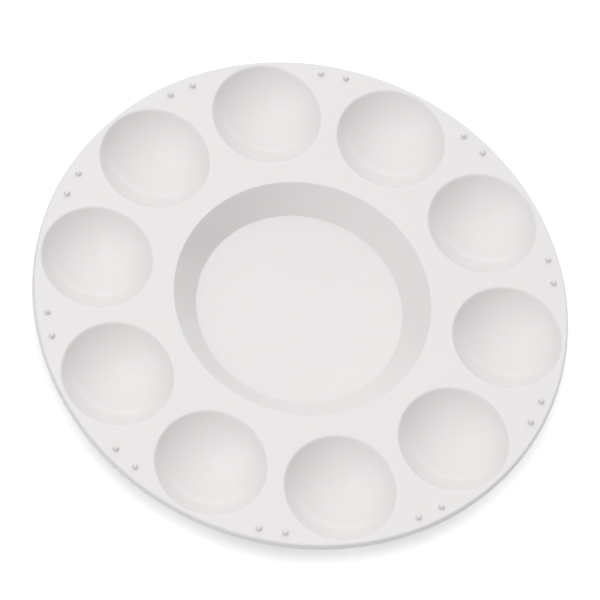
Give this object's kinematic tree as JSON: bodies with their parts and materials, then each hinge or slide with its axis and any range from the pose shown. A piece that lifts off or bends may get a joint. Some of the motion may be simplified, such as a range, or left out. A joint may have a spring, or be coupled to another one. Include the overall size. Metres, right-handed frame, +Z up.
{
  "type": "mixing palette",
  "caption": "Round moulded plastic paint palette with a ring of bowl wells, a central conical mixing basin, a turned-down rim and small stacking nubs.",
  "frame": {"origin": "bottom centre of the palette, on the surface that it stands on, under the middle of the mixing basin", "axes": "+Z up, out of the wells; +Y points through the middle of one well; +X completes the right-handed frame"},
  "size_m": [0.1714, 0.1714, 0.0105],
  "materials": {
    "white_polystyrene": "smooth moulded white polystyrene with a soft gloss, faintly warm, with fine wiping marks"
  },
  "bodies": {
    "root": {"palette_tray": "white_polystyrene"}
  },
  "joints": []
}
